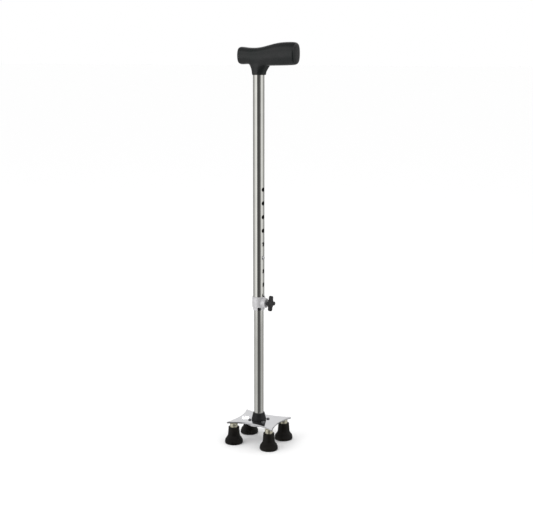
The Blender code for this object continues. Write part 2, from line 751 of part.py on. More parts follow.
clear_scene()
PARTS = new_collection("quad_walking_cane")
CUTTERS = new_collection("cutters")
lower_assembly = assembly("lower_assembly", (TUBE_X, 0, 0))
upper_assembly = assembly("upper_assembly", (TUBE_X, 0, 0))
socket_pin_hole = build_base(lower_assembly)
build_feet(lower_assembly)
build_lower_tube(lower_assembly, socket_pin_hole)
build_button(lower_assembly)
clamp_pad_hole, grip_screw_hole = build_upper_tube(upper_assembly)
build_collar(upper_assembly, clamp_pad_hole)
build_clamp(upper_assembly, clamp_pad_hole)
build_handle(upper_assembly, grip_screw_hole)
shade_smooth()
bpy.context.view_layer.update()
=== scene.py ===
"""Looks of the quad walking cane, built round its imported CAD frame.

Metres, +Z up. Pieces are modelled about the tubes' axis: each object stands on that axis at floor
level, so a point's x and y are its distances from the tubes' middle.
"""

import json
import math

import bmesh
import bpy
from mathutils import Euler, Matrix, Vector


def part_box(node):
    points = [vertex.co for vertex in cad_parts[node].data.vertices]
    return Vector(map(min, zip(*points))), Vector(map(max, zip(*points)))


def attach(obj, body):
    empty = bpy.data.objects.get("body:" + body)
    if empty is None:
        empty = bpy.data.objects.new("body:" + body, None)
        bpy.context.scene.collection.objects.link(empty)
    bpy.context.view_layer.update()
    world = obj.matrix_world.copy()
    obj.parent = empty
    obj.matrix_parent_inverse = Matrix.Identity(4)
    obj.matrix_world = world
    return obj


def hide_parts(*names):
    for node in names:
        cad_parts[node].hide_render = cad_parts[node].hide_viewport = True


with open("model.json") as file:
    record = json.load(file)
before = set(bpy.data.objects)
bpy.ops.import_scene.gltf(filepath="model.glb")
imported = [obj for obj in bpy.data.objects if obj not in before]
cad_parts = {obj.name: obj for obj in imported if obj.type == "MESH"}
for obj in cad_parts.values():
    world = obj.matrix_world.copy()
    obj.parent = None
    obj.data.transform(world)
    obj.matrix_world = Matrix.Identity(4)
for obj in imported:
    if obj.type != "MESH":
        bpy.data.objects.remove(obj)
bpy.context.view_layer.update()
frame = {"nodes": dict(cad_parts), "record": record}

# Driving sizes, read from the frame
lower_low, lower_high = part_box("lower_tube")
upper_low, upper_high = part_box("upper_tube")
collar_low, collar_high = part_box("clamp_collar")
nut_low, nut_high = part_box("lock_nut")
knob_low, knob_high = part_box("clamp_knob")
stud_low, stud_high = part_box("knob_stud")
plate_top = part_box("base_plate")[1].z
button_low, button_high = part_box("snap_button")
boot_low, boot_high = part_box("tube_boot")
screw_low, screw_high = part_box("handle_screw")

AXIS_X = (lower_low.x + lower_high.x) / 2
UPPER_RADIUS = (upper_high.y - upper_low.y) / 2
LOWER_RADIUS = (lower_high.y - lower_low.y) / 2
WALL = 0.0011
GAP = 0.0003
HOLE_PITCH = 0.0254
HOLE_RADIUS = 0.0040
HOLE_ANGLE = math.radians(-10)
HOLES_ABOVE_BUTTON = 5
HOLES_BELOW_BUTTON = 3
BUTTON_Z = (button_low.z + button_high.z) / 2
KNOB_Z = (knob_low.z + knob_high.z) / 2
PAD_HOLE_RADIUS = 0.0034
BORE_MARGIN = 0.00025
SCREW_HOLE = 0.0019

# How far cutters run: out from the tubes' axis, and past an end
DRILL_START = 0.003
DRILL_REACH = 0.030
RUN_OUT = 0.010

# Camera, at the photograph's viewing angle
CAMERA_AZIMUTH = math.radians(27.4)
CAMERA_DISTANCE = 1.930
CAMERA_SIDE = 0.0143
CAMERA_HEIGHT = 0.730
CAMERA_PITCH = math.radians(11.25)
CAMERA_LENS = 71.41
CAMERA_ROLL = math.radians(0.05)


def camera_place():
    """Where the camera stands: its distance from the tubes' axis and a small step to its right."""
    sine, cosine = math.sin(CAMERA_AZIMUTH), math.cos(CAMERA_AZIMUTH)
    return Vector(
        (
            AXIS_X + CAMERA_DISTANCE * sine + CAMERA_SIDE * cosine,
            -CAMERA_DISTANCE * cosine + CAMERA_SIDE * sine,
            CAMERA_HEIGHT,
        )
    )


# ---------------------------------------------------------------- meshes


def new_object(name, points, faces):
    mesh = bpy.data.meshes.new(name)
    mesh.from_pydata(points, [], faces)
    shape = bmesh.new()
    shape.from_mesh(mesh)
    bmesh.ops.remove_doubles(shape, verts=shape.verts, dist=0.0000005)
    bmesh.ops.recalc_face_normals(shape, faces=shape.faces)
    shape.to_mesh(mesh)
    shape.free()
    obj = bpy.data.objects.new(name, mesh)
    bpy.context.scene.collection.objects.link(obj)
    return obj


def fillet(points, closed=True, steps=5):
    """A polyline of (x, y, corner radius) points as (x, y) points with its corners rounded."""
    result = []
    count = len(points)
    for index, (x, y, radius) in enumerate(points):
        here = Vector((x, y))
        if radius == 0 or (not closed and index in (0, count - 1)):
            result.append((x, y))
            continue
        before = Vector(points[index - 1][:2]) - here
        after = Vector(points[(index + 1) % count][:2]) - here
        bend = before.angle(after)
        cut = min(radius / math.tan(bend / 2), 0.49 * before.length, 0.49 * after.length)
        radius = cut * math.tan(bend / 2)
        middle = here + (before.normalized() + after.normalized()).normalized() * radius / math.sin(bend / 2)
        start = here + before.normalized() * cut - middle
        turn = start.angle_signed(here + after.normalized() * cut - middle)
        for step in range(steps + 1):
            angle = -turn * step / steps
            result.append(
                (
                    middle.x + start.x * math.cos(angle) - start.y * math.sin(angle),
                    middle.y + start.x * math.sin(angle) + start.y * math.cos(angle),
                )
            )
    return result


def through(points, steps=6):
    """A smooth curve through the points (Catmull-Rom), for moulded outlines."""
    result = []
    padded = [points[0], *points, points[-1]]
    for a, b, c, d in zip(padded, padded[1:], padded[2:], padded[3:]):
        for step in range(steps):
            t = step / steps
            result.append(
                tuple(
                    0.5
                    * (
                        2 * b[i]
                        + (c[i] - a[i]) * t
                        + (2 * a[i] - 5 * b[i] + 4 * c[i] - d[i]) * t * t
                        + (3 * b[i] - a[i] - 3 * c[i] + d[i]) * t**3
                    )
                    for i in range(2)
                )
            )
    result.append(points[-1])
    return result


def lathe(name, profile, steps=96, hollow=False):
    """(radius, height) points swept round Z. A solid profile starts and ends on the axis."""
    points = [
        (radius * math.cos(angle), radius * math.sin(angle), height)
        for radius, height in profile
        for angle in (2 * math.pi * step / steps for step in range(steps))
    ]
    rows = len(profile)
    pairs = [(row, row + 1) for row in range(rows - 1)]
    if hollow:
        pairs.append((rows - 1, 0))
    faces = []
    for first, second in pairs:
        near, far = first * steps, second * steps
        for step in range(steps):
            after = (step + 1) % steps
            faces.append((near + step, far + step, far + after, near + after))
    return new_object(name, points, faces)


def rod(name, radius, bottom, top, steps=48):
    """A plain solid cylinder, mostly for cutting bores."""
    return lathe(name, [(0, top), (radius, top), (radius, bottom), (0, bottom)], steps)


def tube(name, outer, bore, bottom, top, edge=0.0003, steps=128):
    corners = [(outer, top), (outer, bottom), (bore, bottom), (bore, top)]
    profile = fillet([(*corner, edge) for corner in corners], steps=3)
    return lathe(name, profile, steps, hollow=True)


def oblong(start, end, half):
    """Corners of a flat bar along X, counter-clockwise."""
    return [(start, -half), (end, -half), (end, half), (start, half)]


def prism(name, outline, bottom, top, edge, steps=4):
    """A flat outline between two heights, its rims rounded by insetting the outline."""
    rims = []
    for step in range(steps + 1):
        angle = math.pi / 2 * step / steps
        rims.append((edge * (1 - math.sin(angle)), bottom + edge * (1 - math.cos(angle))))
    rims = rims + [(inset, top + bottom - height) for inset, height in reversed(rims)]
    points = []
    for inset, height in rims:
        points += [(x, y, height) for x, y in inset_outline(outline, inset)]
    count = len(outline)
    faces = []
    for row in range(len(rims) - 1):
        for side in range(count):
            after = (side + 1) % count
            near, far = row * count, (row + 1) * count
            faces.append((near + side, near + after, far + after, far + side))
    faces.append(tuple(range(count - 1, -1, -1)))
    last = (len(rims) - 1) * count
    faces.append(tuple(range(last, last + count)))
    return new_object(name, points, faces)


def inset_outline(outline, distance):
    """The outline moved inwards, each point along the mean of its two sides' normals."""
    result = []
    count = len(outline)
    for index, point in enumerate(outline):
        here = Vector(point)
        before = (here - Vector(outline[index - 1])).normalized()
        after = (Vector(outline[(index + 1) % count]) - here).normalized()
        normal = Vector((-(before.y + after.y), before.x + after.x)).normalized()
        stretch = 1 / max(0.5, math.sqrt(max(0.0, (1 + before.dot(after)) / 2)))
        result.append(tuple(here + normal * distance * stretch))
    return result


def turn_to(obj, direction, location=(0, 0, 0)):
    """Turns the mesh so that its own +Z points along +X, -X or +Z, then moves it."""
    turns = {
        "+X": Euler((0, math.pi / 2, 0)),
        "-X": Euler((0, -math.pi / 2, 0)),
        "+Z": Euler((0, 0, 0)),
    }
    obj.data.transform(turns[direction].to_matrix().to_4x4())
    for vertex in obj.data.vertices:
        vertex.co += Vector(location)
    return obj


def spin(obj, angle):
    """Turns the mesh about its own Z axis, which stands on the tubes' axis once the piece is finished."""
    obj.data.transform(Euler((0, 0, angle)).to_matrix().to_4x4())
    return obj


def combine(obj, tools, operation="DIFFERENCE"):
    """Cuts or joins other meshes, which are used up."""
    for tool in tools:
        boolean = obj.modifiers.new(tool.name, "BOOLEAN")
        boolean.operation = operation
        boolean.solver = "EXACT"
        boolean.object = tool
    return apply_modifiers(obj, tools)


def join(obj, other):
    """Adds another mesh's faces to the object, as a separate shell of the same piece."""
    shape = bmesh.new()
    shape.from_mesh(obj.data)
    shape.from_mesh(other.data)
    shape.to_mesh(obj.data)
    shape.free()
    bpy.data.objects.remove(other, do_unlink=True)


def apply_modifiers(obj, used=()):
    bpy.context.view_layer.update()
    evaluated = obj.evaluated_get(bpy.context.evaluated_depsgraph_get())
    mesh = bpy.data.meshes.new_from_object(evaluated)
    obj.modifiers.clear()
    old = obj.data
    obj.data = mesh
    bpy.data.meshes.remove(old)
    mesh.name = obj.name
    for tool in used:
        bpy.data.objects.remove(tool, do_unlink=True)
    return obj


def smooth(obj, angle=40):
    obj.data.shade_smooth()
    obj.data.set_sharp_from_angle(angle=math.radians(angle))
    return obj


def round_normals(obj, radii, tolerance=0.00005):
    """Exact cylinder normals on a tube's walls, so that cut holes leave no flaws in its shine."""
    mesh = obj.data
    mesh.shade_smooth()
    mesh.set_sharp_from_angle(angle=math.radians(30))
    normals = []
    for polygon in mesh.polygons:
        for index in polygon.loop_indices:
            point = mesh.vertices[mesh.loops[index].vertex_index].co
            outward = Vector((point.x, point.y, 0))
            upright = abs(polygon.normal.z) < 0.3 and abs(polygon.normal.dot(outward.normalized())) > 0.985
            if upright and any(abs(outward.length - radius) < tolerance for radius in radii):
                side = 1 if polygon.normal.dot(outward) > 0 else -1
                normals.append(outward.normalized() * side)
            else:
                normals.append(mesh.corner_normals[index].vector.copy())
    mesh.normals_split_custom_set(normals)
    return obj


def finish(obj, body, nodes, material):
    """Stands the piece on the tubes' axis, gives it its look and ties it to the frame."""
    obj.location = (AXIS_X, 0, 0)
    obj.data.materials.clear()
    obj.data.materials.append(material)
    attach(obj, body)
    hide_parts(*nodes)
    return obj


# ---------------------------------------------------------------- materials


class Surface:
    """A Principled material whose colour, roughness and bump come from noise in the piece's own space."""

    def __init__(self, name, metallic=0.0):
        self.material = bpy.data.materials.new(name)
        self.material.use_nodes = True
        self.tree = self.material.node_tree
        self.shader = self.tree.nodes["Principled BSDF"]
        self.shader.inputs["Metallic"].default_value = metallic
        self.place = self.tree.nodes.new("ShaderNodeTexCoord").outputs["Object"]

    def noise(self, scale, detail=3.0, stretch=(1, 1, 1), seed=0.0, rough=0.5):
        """Noise with cells about 1 / scale metres across, longer where stretch is below 1."""
        mapping = self.tree.nodes.new("ShaderNodeMapping")
        mapping.inputs["Scale"].default_value = stretch
        mapping.inputs["Location"].default_value = (seed, seed * 0.7, seed * 1.3)
        self.tree.links.new(self.place, mapping.inputs["Vector"])
        noise = self.tree.nodes.new("ShaderNodeTexNoise")
        noise.inputs["Scale"].default_value = scale
        noise.inputs["Detail"].default_value = detail
        noise.inputs["Roughness"].default_value = rough
        self.tree.links.new(mapping.outputs["Vector"], noise.inputs["Vector"])
        return noise.outputs["Fac"]

    def ramp(self, source, *stops):
        ramp = self.tree.nodes.new("ShaderNodeValToRGB")
        elements = ramp.color_ramp.elements
        while len(elements) < len(stops):
            elements.new(0.5)
        for element, (place, colour) in zip(elements, stops):
            element.position = place
            element.color = (*colour, 1) if len(colour) == 3 else colour
        self.tree.links.new(source, ramp.inputs["Fac"])
        return ramp.outputs["Color"]

    def spread(self, source, low, high, start=0.3, end=0.7):
        spread = self.tree.nodes.new("ShaderNodeMapRange")
        spread.inputs["From Min"].default_value = start
        spread.inputs["From Max"].default_value = end
        spread.inputs["To Min"].default_value = low
        spread.inputs["To Max"].default_value = high
        self.tree.links.new(source, spread.inputs["Value"])
        return spread.outputs["Result"]

    def colour(self, source, *stops):
        self.tree.links.new(self.ramp(source, *stops), self.shader.inputs["Base Color"])
        return self

    def roughness(self, source, low, high):
        self.tree.links.new(self.spread(source, low, high), self.shader.inputs["Roughness"])
        return self

    def bump(self, source, depth, strength=1.0):
        bump = self.tree.nodes.new("ShaderNodeBump")
        bump.inputs["Strength"].default_value = strength
        bump.inputs["Distance"].default_value = depth
        self.tree.links.new(source, bump.inputs["Height"])
        previous = self.shader.inputs["Normal"]
        if previous.is_linked:
            self.tree.links.new(previous.links[0].from_socket, bump.inputs["Normal"])
        self.tree.links.new(bump.outputs["Normal"], previous)
        return self


def polished_metal(name, tone, low, high, streak=(1, 1, 0.02)):
    """Metal with faint smudges and fine polishing lines, drawn out along the smallest streak value."""
    look = Surface(name, metallic=1.0)
    lines = look.noise(900, 2, streak)
    smudges = look.noise(45, 4, seed=3.1)
    look.colour(smudges, (0.35, [c * 0.95 for c in tone]), (0.65, tone))
    look.roughness(smudges, low, high)
    look.bump(lines, depth=0.000004, strength=0.35)
    return look.material


def moulded(name, dark, light, low, high, grain, depth, specular=0.5):
    """Plastic or rubber: mottled between two tones, unevenly glossy, with a fine grain."""
    look = Surface(name)
    look.shader.inputs["Specular IOR Level"].default_value = specular
    look.colour(look.noise(60, 4, seed=1.7), (0.30, dark), (0.72, light))
    look.roughness(look.noise(180, 3, seed=5.3), low, high)
    look.bump(look.noise(grain, 2, seed=8.9), depth, strength=0.6)
    return look.material


TUBE_METAL = polished_metal("tube_polished_aluminium", (0.91, 0.905, 0.855), 0.07, 0.12)
# The bore's near-black colour is painted shade inside the tubes; only its higher roughness is a real duller
# finish
TUBE_BORE_SHADE = polished_metal("tube_bore_painted_shade", (0.030, 0.030, 0.030), 0.45, 0.60)
PLATE_METAL = polished_metal("plate_polished_aluminium", (0.86, 0.86, 0.88), 0.02, 0.04, (0.05, 1, 1))
LEG_METAL = polished_metal("leg_warm_plating", (0.97, 0.93, 0.74), 0.30, 0.40, (1, 1, 0.05))
STEEL = polished_metal("zinc_plated_steel", (0.62, 0.62, 0.63), 0.20, 0.34, (1, 1, 1))
SPRING_STEEL = polished_metal("spring_steel", (0.42, 0.43, 0.46), 0.25, 0.40, (0.1, 1, 1))
CHROME = polished_metal("button_chrome", (0.82, 0.82, 0.83), 0.05, 0.09, (1, 1, 1))
SCREW_STEEL = polished_metal("screw_steel", (0.34, 0.34, 0.35), 0.25, 0.40, (1, 1, 1))


def cast_metal():
    """Satin cast aluminium with an uneven, sandy skin."""
    look = Surface("collar_cast_aluminium", metallic=0.65)
    look.colour(look.noise(140, 4, seed=2.2), (0.32, (0.82, 0.81, 0.83)), (0.68, (0.92, 0.91, 0.93)))
    look.roughness(look.noise(500, 3, seed=4.4), 0.40, 0.54)
    look.bump(look.noise(1800, 3, seed=6.6), depth=0.00003, strength=0.5)
    return look.material


CAST_METAL = cast_metal()
GRIP = moulded(
    "grip_black_plastic", (0.007, 0.010, 0.0095), (0.014, 0.014, 0.0145), 0.20, 0.27,
    grain=2600, depth=0.000012,
)
KNOB = moulded(
    "knob_black_plastic", (0.013, 0.012, 0.014), (0.020, 0.018, 0.021), 0.32, 0.45,
    grain=2200, depth=0.00003,
)
NYLON = moulded(
    "black_nylon", (0.006, 0.006, 0.007), (0.012, 0.012, 0.013), 0.40, 0.55,
    grain=2500, depth=0.00002, specular=0.3,
)
BOOT = moulded(
    "boot_black_rubber", (0.004, 0.004, 0.005), (0.008, 0.008, 0.009), 0.30, 0.42,
    grain=1800, depth=0.00004, specular=0.4,
)
FOOT = moulded(
    "foot_black_rubber", (0.0034, 0.0028, 0.0020), (0.0100, 0.0084, 0.0060), 0.36, 0.48,
    grain=1600, depth=0.00005, specular=0.2,
)


# ---------------------------------------------------------------- handle

# The grip's cross-sections, from its front to its palm end: (x, top, bottom, half width)
HANDLE_SECTIONS = (
    (-0.0372, 0.7420, 0.7119, 0.0135),
    (-0.0332, 0.7426, 0.7109, 0.0144),
    (-0.0245, 0.7414, 0.7115, 0.0146),
    (-0.0165, 0.7406, 0.7118, 0.0147),
    (0.0015, 0.7404, 0.7100, 0.0150),
    (0.0200, 0.7447, 0.7090, 0.0150),
    (0.0380, 0.7493, 0.7092, 0.0150),
    (0.0560, 0.7506, 0.7096, 0.0150),
    (0.0695, 0.7505, 0.7102, 0.0149),
    (0.0748, 0.7496, 0.7112, 0.0144),
)
HANDLE_FRONT = -0.0379
HANDLE_BACK = 0.0765
END_DISH = 0.0002
# Sizes of the end faces' rings, as shares of the section next to them
END_MIDDLE = 0.45
FRONT_RIM = 0.80
BACK_RIM = 0.86
NECK_BOTTOM = 0.6924
NECK_FLOOR = 0.60
# The neck, downwards: (height, reach to the front, reach to the back, half width)
NECK_RINGS = (
    (0.7080, 0.0158, 0.0216, 0.0134),
    (0.7030, 0.0136, 0.0172, 0.0127),
    (0.6975, 0.0126, 0.0141, 0.0123),
    (0.6940, 0.0123, 0.0137, 0.0122),
    (NECK_BOTTOM, 0.0120, 0.0134, 0.0119),
)
SCREW_SEAT = 0.0120
SECTION_SIDES = 8
# How far a section's diagonal points stand out, between a lozenge's 0.5 and a square's 1
SQUARENESS = 0.83
# The neck grows out of the grip's underside between these two sections
NECK_START, NECK_END = 3, 5


def handle_cage():
    """Points and faces of the handle's cage: eight-sided sections with a neck out of the bottom."""
    # Subdivision draws the cage in, so its points stand out by this much
    reach = 6 / (4 + 2 * SQUARENESS)
    diagonal = [(0, 1), (SQUARENESS, SQUARENESS), (1, 0), (SQUARENESS, -SQUARENESS), (0, -1)]
    unit = diagonal + [(-y, z) for y, z in reversed(diagonal[1:-1])]
    points, faces = [], []

    def add_section(x, top, bottom, width, scale=1.0):
        middle, half = (top + bottom) / 2, (top - bottom) / 2
        points.extend((x, scale * reach * width * y, middle + scale * reach * half * z) for y, z in unit)

    def bridge(first, second, skipped=()):
        for side in range(SECTION_SIDES):
            if side not in skipped:
                after = (side + 1) % SECTION_SIDES
                faces.append((first + side, first + after, second + after, second + side))

    front, back = HANDLE_SECTIONS[0], HANDLE_SECTIONS[-1]
    add_section(HANDLE_FRONT + END_DISH, *front[1:], scale=END_MIDDLE)
    add_section(HANDLE_FRONT, *front[1:], scale=FRONT_RIM)
    for section in HANDLE_SECTIONS:
        add_section(*section)
    add_section(HANDLE_BACK - END_DISH, *back[1:], scale=BACK_RIM)
    add_section(HANDLE_BACK, *back[1:], scale=END_MIDDLE)
    count = len(points) // SECTION_SIDES
    for ring_number in range(count - 1):
        over_neck = NECK_START <= ring_number - 2 < NECK_END
        bottom_sides = (3, 4) if over_neck else ()
        bridge(ring_number * SECTION_SIDES, (ring_number + 1) * SECTION_SIDES, bottom_sides)
    faces.append(tuple(range(SECTION_SIDES - 1, -1, -1)))
    last = (count - 1) * SECTION_SIDES
    faces.append(tuple(range(last, last + SECTION_SIDES)))

    start, middle, end = [(number + 2) * SECTION_SIDES for number in (NECK_START, NECK_START + 1, NECK_END)]
    rim = [start + 3, middle + 3, end + 3, end + 4, end + 5, middle + 5, start + 5, start + 4]
    directions = [(-1, 1), (0, 1), (1, 1), (1, 0), (1, -1), (0, -1), (-1, -1), (-1, 0)]
    circle = 6 / (4 + math.sqrt(2))
    rings = [rim]
    for scale, (height, front_reach, back_reach, width) in [
        *((1.0, neck_ring) for neck_ring in NECK_RINGS),
        (NECK_FLOOR, NECK_RINGS[-1]),
    ]:
        first = len(points)
        for along, across in directions:
            length = math.hypot(along, across)
            reach_x = back_reach if along > 0 else front_reach
            x = circle * scale * reach_x * along / length
            y = circle * scale * width * across / length
            points.append((x, y, height))
        rings.append(list(range(first, len(points))))
    for upper_ring, lower_ring in zip(rings, rings[1:]):
        for side in range(SECTION_SIDES):
            after = (side + 1) % SECTION_SIDES
            faces.append((upper_ring[side], upper_ring[after], lower_ring[after], lower_ring[side]))
    faces.append(tuple(rings[-1]))
    return points, faces


def make_handle():
    """The moulded grip, bored for the upper tube and seated for the handle screw."""
    handle = new_object("grip", *handle_cage())
    soften = handle.modifiers.new("soft form", "SUBSURF")
    soften.levels = 3
    soften.render_levels = 3
    apply_modifiers(handle)
    bore, bore_end = UPPER_RADIUS + GAP, upper_high.z + GAP
    socket = rod("neck_socket", bore, NECK_BOTTOM - RUN_OUT, bore_end, 128)
    screw_z = (screw_low.z + screw_high.z) / 2
    head = (screw_high.z - screw_low.z) / 2 + GAP
    seat_profile = [
        (0, DRILL_REACH),
        (head, DRILL_REACH),
        (head, SCREW_SEAT),
        (SCREW_HOLE, SCREW_SEAT),
        (SCREW_HOLE, DRILL_START),
        (0, DRILL_START),
    ]
    seat = turn_to(lathe("screw_seat", seat_profile, 48), "-X", (0, 0, screw_z))
    combine(handle, [socket, seat])
    smooth(handle, 40)
    finish(handle, "upper", ["handle_grip"], GRIP)


# ---------------------------------------------------------------- tubes


FLARE_SPREAD = 0.0060
RIM_BREAK = 0.0002
RIM_LIFT = 0.00006


def hole_cutter(name, radius, surface, height):
    """A drill with a short flare at the tube's surface, which leaves the hole's rim broken."""
    profile = [
        (0, DRILL_REACH),
        (radius + FLARE_SPREAD, DRILL_REACH),
        (radius + RIM_BREAK, surface + RIM_LIFT),
        (radius, surface - RIM_BREAK),
        (radius, DRILL_START),
        (0, DRILL_START),
    ]
    return turn_to(lathe(name, profile, 48), "+X", (0, 0, height))


def shade_bore_faces(obj, radius):
    """Gives every face inside the tube's outer skin the bore material: near-black painted shade inside the
    tube, with a duller roughness.
    """
    obj.data.materials.append(TUBE_BORE_SHADE)
    for polygon in obj.data.polygons:
        if polygon.center.xy.length < radius - BORE_MARGIN:
            polygon.material_index = 1


def make_tubes():
    """Both tubes, with their height, button and pad holes."""
    upper = tube("upper_tube_shell", UPPER_RADIUS, UPPER_RADIUS - WALL, upper_low.z, upper_high.z)
    drills = []
    for step in range(-HOLES_BELOW_BUTTON, HOLES_ABOVE_BUTTON + 1):
        height = BUTTON_Z + step * HOLE_PITCH
        drills.append(spin(hole_cutter(f"drill_{step}", HOLE_RADIUS, UPPER_RADIUS, height), HOLE_ANGLE))
    drills.append(hole_cutter("pad_drill", PAD_HOLE_RADIUS, UPPER_RADIUS, KNOB_Z))
    combine(upper, drills)
    round_normals(upper, (UPPER_RADIUS, UPPER_RADIUS - WALL))
    finish(upper, "upper", ["upper_tube"], TUBE_METAL)
    shade_bore_faces(upper, UPPER_RADIUS)

    lower = tube("lower_tube_shell", LOWER_RADIUS, LOWER_RADIUS - WALL, lower_low.z, lower_high.z)
    combine(lower, [spin(hole_cutter("button_drill", HOLE_RADIUS, LOWER_RADIUS, BUTTON_Z), HOLE_ANGLE)])
    round_normals(lower, (LOWER_RADIUS, LOWER_RADIUS - WALL))
    finish(lower, "base", ["lower_tube"], TUBE_METAL)
    shade_bore_faces(lower, LOWER_RADIUS)


BUTTON_RADIUS = 0.0037
BUTTON_TIP = 0.0126
BUTTON_DOME = 0.0024
BUTTON_FLANGE = 0.0012
BUTTON_FLANGE_BACK = 0.0049
BUTTON_EDGE = 0.0002


def make_button():
    """The snap button: a domed pin with a flange behind it."""
    flange = (button_high.z - button_low.z) / 2
    radius, reach, back = BUTTON_RADIUS, BUTTON_TIP, BUTTON_FLANGE_BACK
    dome = [
        (radius * math.sin(angle), reach - BUTTON_DOME * (1 - math.cos(angle)))
        for angle in (math.pi / 2 * step / 10 for step in range(11))
    ]
    rim = fillet(
        [
            (radius, reach - BUTTON_DOME, 0),
            (radius, back + BUTTON_FLANGE, BUTTON_EDGE),
            (flange, back + BUTTON_FLANGE, BUTTON_EDGE),
            (flange, back, BUTTON_EDGE),
            (0, back, 0),
        ],
        closed=False,
    )
    button = spin(turn_to(lathe("button_pin", dome + rim[1:], 48), "+X", (0, 0, BUTTON_Z)), HOLE_ANGLE)
    smooth(button)
    finish(button, "button", ["snap_button"], CHROME)


# ---------------------------------------------------------------- clamp


LIP_HEIGHT = 0.0058
LIP_RADIUS = 0.0107
LIP_BORE = 0.0100
BOSS_RADIUS = 0.0092
BOSS_ROOT = 0.0070
BOSS_EDGE = 0.0010
NOTCH_WIDTH = 0.0062
NOTCH_INNER = 0.008
NOTCH_OUTER = 0.013
NOTCH_EDGE = 0.0002
NOTCH_CLEAR = 0.003
NOTCH_ANGLE = math.radians(-58)
CAST_VOXEL = 0.0003
NUT_CORNER = 0.0062
NUT_BORE = 0.0033
NUT_EDGE = 0.00015
CHAMFER_DEPTH = 0.0010
# Radii of the nut's chamfer cone at its face and at its side, as shares of the corner radius
CHAMFER_FACE = 0.86
CHAMFER_SIDE = 1.04
KNOB_LOBES = 4
KNOB_LOBE_PLACE = 0.0107
KNOB_LOBE_RADIUS = 0.0037
KNOB_VALLEY_PLACE = 0.0130
KNOB_TURN = math.radians(-10.5)
KNOB_EDGE = 0.0016
KNOB_BORE = 0.0033
DISH_DEPTH = 0.0007
DISH_FLOOR = 0.0052
DISH_RIM = 0.0060
DISH_EDGE = 0.0004
DISH_CLEAR = 0.002
THREAD_OUTER = 0.0030
THREAD_ROOT = 0.0025
THREAD_PITCH = 0.0010
THREAD_MARGIN = 0.0012
THREAD_ROWS = 4


def make_collar():
    """The cast collar, its corners softened as a casting's are, then bored and notched sharply."""
    radius = (collar_high.y - collar_low.y) / 2
    bottom, top = collar_low.z, collar_high.z
    band = bottom + LIP_HEIGHT
    boss_face = collar_high.x - AXIS_X
    outline = [
        (0, top, 0),
        (radius, top, 0.0007),
        (radius, band, 0.0008),
        (LIP_RADIUS, band, 0.0003),
        (LIP_RADIUS, bottom, 0.0004),
        (0, bottom, 0),
    ]
    collar = lathe("collar_casting", fillet(outline, closed=False), 96)
    boss_outline = [
        (0, boss_face, 0),
        (BOSS_RADIUS, boss_face, BOSS_EDGE),
        (BOSS_RADIUS, BOSS_ROOT, 0),
        (0, BOSS_ROOT, 0),
    ]
    boss = turn_to(lathe("casting_boss", fillet(boss_outline, closed=False), 64), "+X", (0, 0, KNOB_Z))
    combine(collar, [boss], "UNION")
    cast = collar.modifiers.new("cast skin", "REMESH")
    cast.mode = "VOXEL"
    cast.voxel_size = CAST_VOXEL
    soften = collar.modifiers.new("soft corners", "SMOOTH")
    soften.factor = 0.5
    soften.iterations = 4
    apply_modifiers(collar)
    step = upper_low.z - GAP
    bore_profile = [
        (0, top + RUN_OUT),
        (UPPER_RADIUS + GAP, top + RUN_OUT),
        (UPPER_RADIUS + GAP, step),
        (LIP_BORE, step),
        (LIP_BORE, bottom - RUN_OUT),
        (0, bottom - RUN_OUT),
    ]
    bore = lathe("collar_bore", bore_profile, 128)
    pad_hole = turn_to(rod("stud_hole", PAD_HOLE_RADIUS, DRILL_START, DRILL_REACH), "+X", (0, 0, KNOB_Z))
    slot_outline = oblong(NOTCH_INNER, NOTCH_OUTER, NOTCH_WIDTH / 2)
    slot = prism("notch", slot_outline, bottom - NOTCH_CLEAR, band, NOTCH_EDGE)
    spin(slot, NOTCH_ANGLE)
    combine(collar, [bore, pad_hole, slot])
    smooth(collar, 35)
    finish(collar, "upper", ["clamp_collar"], CAST_METAL)


def make_nut():
    """A chamfered hex nut with a clear bore."""
    back, front = nut_low.x - AXIS_X, nut_high.x - AXIS_X
    corner = NUT_CORNER
    angles = [math.pi / 3 * side for side in range(6)]
    hexagon = [(corner * math.cos(angle), corner * math.sin(angle)) for angle in angles]
    nut = prism("hex_nut", hexagon, back, front, NUT_EDGE, 2)
    face, side = corner * CHAMFER_FACE, corner * CHAMFER_SIDE
    cone_profile = [
        (0, front),
        (face, front),
        (side, front - CHAMFER_DEPTH),
        (side, back + CHAMFER_DEPTH),
        (face, back),
        (0, back),
    ]
    combine(nut, [lathe("chamfer", cone_profile, 64)], "INTERSECT")
    combine(nut, [rod("nut_bore", NUT_BORE, back - RUN_OUT, front + RUN_OUT)])
    turn_to(nut, "+X", (0, 0, KNOB_Z))
    smooth(nut, 20)
    finish(nut, "upper", ["lock_nut"], STEEL)


def star_outline(lobes, lobe_place, lobe_radius, valley_place, turn, steps=14):
    """Round lobes joined by round valleys that meet them tangentially."""
    half = math.pi / lobes
    reach = math.sqrt(lobe_place**2 + valley_place**2 - 2 * lobe_place * valley_place * math.cos(half))
    valley_radius = reach - lobe_radius
    meet = math.pi - math.acos((lobe_place**2 + reach**2 - valley_place**2) / (2 * lobe_place * reach))
    sweep = math.acos((valley_place**2 + reach**2 - lobe_place**2) / (2 * valley_place * reach))
    points = []
    for lobe in range(lobes):
        centre = turn + 2 * half * lobe
        for step in range(steps + 1):
            angle = centre + meet * (2 * step / steps - 1)
            points.append(
                (
                    lobe_place * math.cos(centre) + lobe_radius * math.cos(angle),
                    lobe_place * math.sin(centre) + lobe_radius * math.sin(angle),
                )
            )
        middle = centre + half
        for step in range(1, steps):
            angle = middle + math.pi - sweep * (2 * step / steps - 1)
            points.append(
                (
                    valley_place * math.cos(middle) + valley_radius * math.cos(angle),
                    valley_place * math.sin(middle) + valley_radius * math.sin(angle),
                )
            )
    return points


